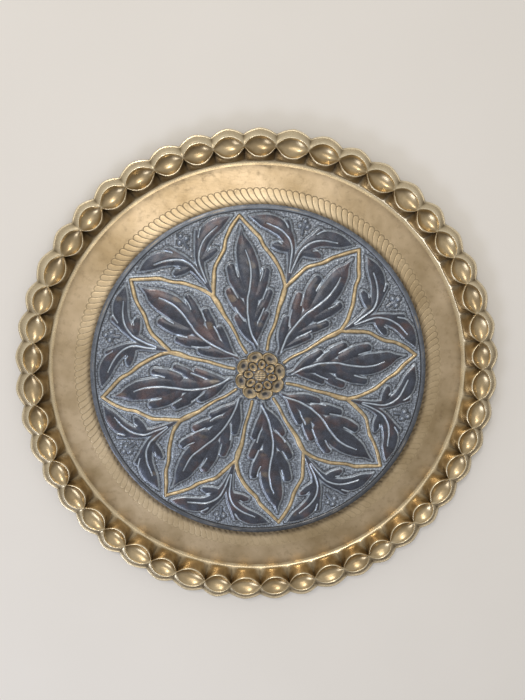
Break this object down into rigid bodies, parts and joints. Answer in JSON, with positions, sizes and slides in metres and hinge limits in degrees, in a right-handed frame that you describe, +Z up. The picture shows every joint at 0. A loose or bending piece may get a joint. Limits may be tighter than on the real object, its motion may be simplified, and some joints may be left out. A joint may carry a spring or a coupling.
{
  "type": "brass tray",
  "caption": "Round brass tray with a raised rim of dished scalloped lobes and a dark chased flower medallion in its flat floor.",
  "frame": {"origin": "centre of the underside of the floor, on the plane that the tray rests on", "axes": "+Z up out of the open side of the tray, square to its floor; +Y towards one crease of the rim"},
  "size_m": [0.5158, 0.5154, 0.021],
  "materials": {
    "aged_brass": "aged and hand-rubbed, with soft brown mottling",
    "rubbed_brass": "rubbed bright on the high edges",
    "relief_brass": "worn satin brass showing through a dark patina",
    "matted_patina": "blackened and matted with a fine punch",
    "leaf_patina": "smooth blackened patina with a soft sheen"
  },
  "bodies": {
    "root": {"plain_floor": "aged_brass", "chased_band": "rubbed_brass", "border_ring": "matted_patina", "medallion_ground": "matted_patina", "petal_outlines": "relief_brass", "leaf_1": "leaf_patina", "leaf_2": "leaf_patina", "leaf_3": "leaf_patina", "leaf_4": "leaf_patina", "leaf_5": "leaf_patina", "leaf_6": "leaf_patina", "leaf_7": "leaf_patina", "leaf_8": "leaf_patina", "spray_1": "leaf_patina", "spray_2": "leaf_patina", "spray_3": "leaf_patina", "spray_4": "leaf_patina", "spray_5": "leaf_patina", "spray_6": "leaf_patina", "spray_7": "leaf_patina", "spray_8": "leaf_patina", "corner_flowers": "matted_patina", "rosette_outer": "relief_brass", "rosette_inner": "relief_brass", "rosette_button": "relief_brass", "scalloped_rim": "aged_brass", "rolled_edge": "rubbed_brass"}
  },
  "joints": []
}
